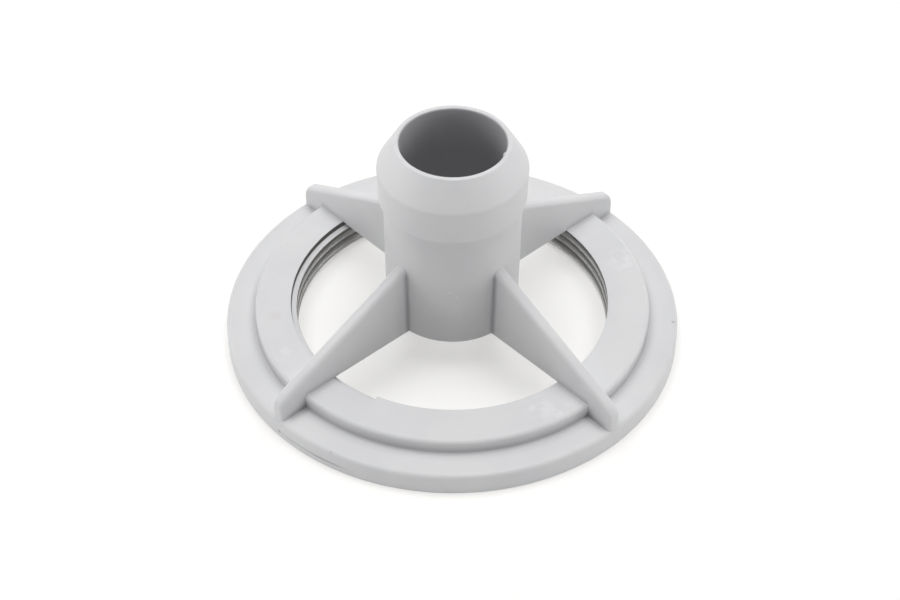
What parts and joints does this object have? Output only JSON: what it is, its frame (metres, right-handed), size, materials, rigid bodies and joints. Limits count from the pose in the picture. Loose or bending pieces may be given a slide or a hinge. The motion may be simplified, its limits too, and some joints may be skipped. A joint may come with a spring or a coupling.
{
  "type": "filter fixing nut",
  "caption": "Moulded plastic ring nut with an internal thread, whose radial ribs carry a central collared tube, for holding down a dishwasher filter.",
  "frame": {"origin": "on the ring's flat underside, on the axis of the thread and the tube", "axes": "+Z along the axis, from the threaded ring up to the tube's lip; the ribs stand on the diagonals between X and Y, and the picture looks from -Y"},
  "size_m": [0.1, 0.1, 0.052],
  "materials": {
    "moulding": "moulded satin, light grey"
  },
  "bodies": {
    "root": {"filter_fixing_nut": "moulding"}
  },
  "joints": []
}
